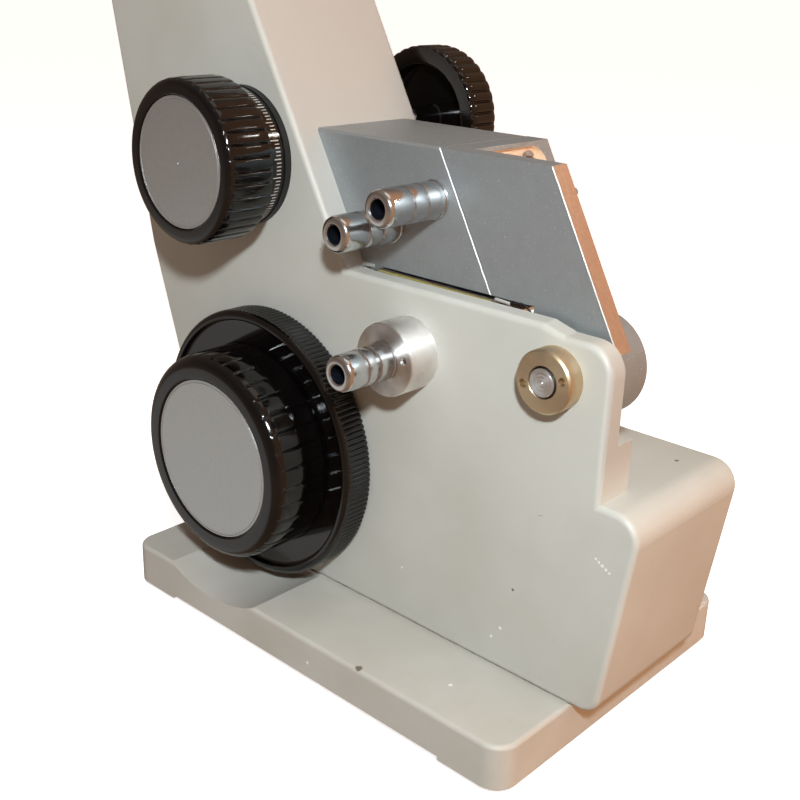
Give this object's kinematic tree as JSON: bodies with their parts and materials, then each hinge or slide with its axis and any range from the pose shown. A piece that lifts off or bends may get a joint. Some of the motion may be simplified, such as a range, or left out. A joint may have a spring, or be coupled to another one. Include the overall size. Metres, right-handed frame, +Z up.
{
  "type": "bench refractometer",
  "caption": "Leaning column on a flat base with two hinged prism blocks, an eyepiece and side knobs, for reading the refractive index of a liquid film.",
  "frame": {"origin": "middle of the instrument's footprint box, at the bench surface under the rubber feet", "axes": "+Z up, the longest extent; +X from the eyepiece towards the prism end; -Y is the side with the two large knobs"},
  "size_m": [0.1994, 0.1, 0.24],
  "materials": {
    "enamel": "satin",
    "enamel_base": "satin",
    "black": "gloss",
    "knob_cap": "satin",
    "block": "satin",
    "chrome": "polished",
    "steel": "brushed",
    "nickel": "satin",
    "aluminium": "satin",
    "brass": "satin",
    "rubber": "matte",
    "glass": "polished",
    "mirror": "polished",
    "black_metal": "matte"
  },
  "bodies": {
    "stand": {"base_plate": "enamel_base", "rubber_feet": "rubber", "base_screws": "steel", "case_shell": "enamel", "cover_plate": "enamel", "cover_screws": "steel", "telescope_tube": "black_metal", "column_collar": "black_metal", "objective_lens": "glass", "reticle": "glass", "compensator_housing": "black_metal", "column_screws": "steel", "refracting_block": "block", "refracting_prism": "glass", "pivot_pins": "steel", "hose_nozzles": "chrome", "nozzle_boss": "aluminium", "boss_nut": "steel", "hinge_pin": "steel", "hinge_nut": "nickel", "hinge_washer": "steel", "dispersion_collar": "black_metal", "shaft_bushes": "brass", "reading_tube": "black_metal", "reading_lens": "glass", "scale_mirror": "glass", "condenser_seat": "aluminium"},
    "entry": {"entry_block": "block", "entry_prism": "glass", "pocket_screws": "steel"},
    "shade": {"light_shade": "black_metal"},
    "reflector": {"reflector_frame": "brass", "reflector_mirror": "mirror"},
    "dispersion": {"dispersion_knob": "black", "dispersion_cap": "knob_cap", "dispersion_scale": "black", "dispersion_shaft": "steel"},
    "lower_cell": {"compensator_cell_lower": "brass", "compensator_prism_lower": "glass"},
    "upper_cell": {"compensator_cell_upper": "brass", "compensator_prism_upper": "glass"},
    "adjusting": {"adjusting_knob": "black", "adjusting_cap": "knob_cap", "adjusting_flange": "black", "adjusting_shaft": "steel"},
    "scale": {"scale_sector": "brass", "glass_scale": "glass", "swing_mirror": "mirror", "mirror_holder": "black_metal", "mirror_shaft": "steel"},
    "lock": {"lock_wheel": "black", "lock_shaft": "steel"},
    "lever": {"lock_lever": "steel"},
    "diopter": {"diopter_ring": "black"},
    "eyepiece": {"eyepiece_sleeve": "black_metal", "eyecup": "rubber", "eyepiece_lenses": "glass"},
    "condenser": {"condenser_barrel": "black_metal", "condenser_lens": "glass"}
  },
  "joints": [
    {"name": "entry_hinge", "type": "hinge", "parent": "stand", "child": "entry", "pos_m": [0.0747, -0.011, 0.0956], "axis": [0, 1, 0], "range_deg": [0, 110]},
    {"name": "shade_hinge", "type": "hinge", "parent": "entry", "child": "shade", "pos_m": [0.05358, 0, 0.13012], "axis": [0, -1, 0], "range_deg": [0, 100]},
    {"name": "reflector_hinge", "type": "hinge", "parent": "stand", "child": "reflector", "pos_m": [0.0115, 0, 0.106], "axis": [0, 1, 0], "range_deg": [0, 28]},
    {"name": "dispersion_turn", "type": "hinge", "parent": "stand", "child": "dispersion", "pos_m": [-0.0309, -0.03, 0.1313], "axis": [0, 1, 0], "continuous": true},
    {"name": "lower_cell_turn", "type": "hinge", "parent": "stand", "child": "lower_cell", "pos_m": [-0.02365, 0, 0.11817], "axis": [-0.483, 0, 0.8756], "continuous": true},
    {"name": "upper_cell_turn", "type": "hinge", "parent": "stand", "child": "upper_cell", "pos_m": [-0.03814, 0, 0.14443], "axis": [-0.483, 0, 0.8756], "continuous": true},
    {"name": "adjust_turn", "type": "hinge", "parent": "stand", "child": "adjusting", "pos_m": [-0.0187, -0.03, 0.053], "axis": [0, 1, 0], "range_deg": [-144, 144]},
    {"name": "scale_turn", "type": "hinge", "parent": "stand", "child": "scale", "pos_m": [-0.01441, 0, 0.10141], "axis": [0, 1, 0], "range_deg": [-18, 18]},
    {"name": "lock_turn", "type": "hinge", "parent": "stand", "child": "lock", "pos_m": [-0.01449, 0.028, 0.1393], "axis": [0, -1, 0], "range_deg": [0, 90]},
    {"name": "lever_turn", "type": "hinge", "parent": "stand", "child": "lever", "pos_m": [0.00636, 0.0126, 0.11759], "axis": [0, -1, 0], "range_deg": [0, 3.65]},
    {"name": "diopter_turn", "type": "hinge", "parent": "stand", "child": "diopter", "pos_m": [-0.07582, 0, 0.21273], "axis": [-0.483, 0, 0.8756], "range_deg": [-150, 150]},
    {"name": "eyepiece_slide", "type": "slide", "parent": "stand", "child": "eyepiece", "axis": [-0.483, 0, 0.8756], "range_m": [-0.0025, 0.0025]},
    {"name": "condenser_turn", "type": "hinge", "parent": "stand", "child": "condenser", "pos_m": [-0.02882, 0.03, 0.07061], "axis": [0, 1, 0], "range_deg": [-90, 90]}
  ],
  "couplings": [
    {"joint": "lower_cell_turn", "follows": "dispersion_turn", "ratio": -0.42857},
    {"joint": "upper_cell_turn", "follows": "dispersion_turn", "ratio": 0.42857},
    {"joint": "scale_turn", "follows": "adjust_turn", "ratio": -0.125},
    {"joint": "lever_turn", "follows": "lock_turn", "ratio": 0.040547},
    {"joint": "diopter_turn", "follows": "eyepiece_slide", "rad_per_m": 1047.2}
  ]
}
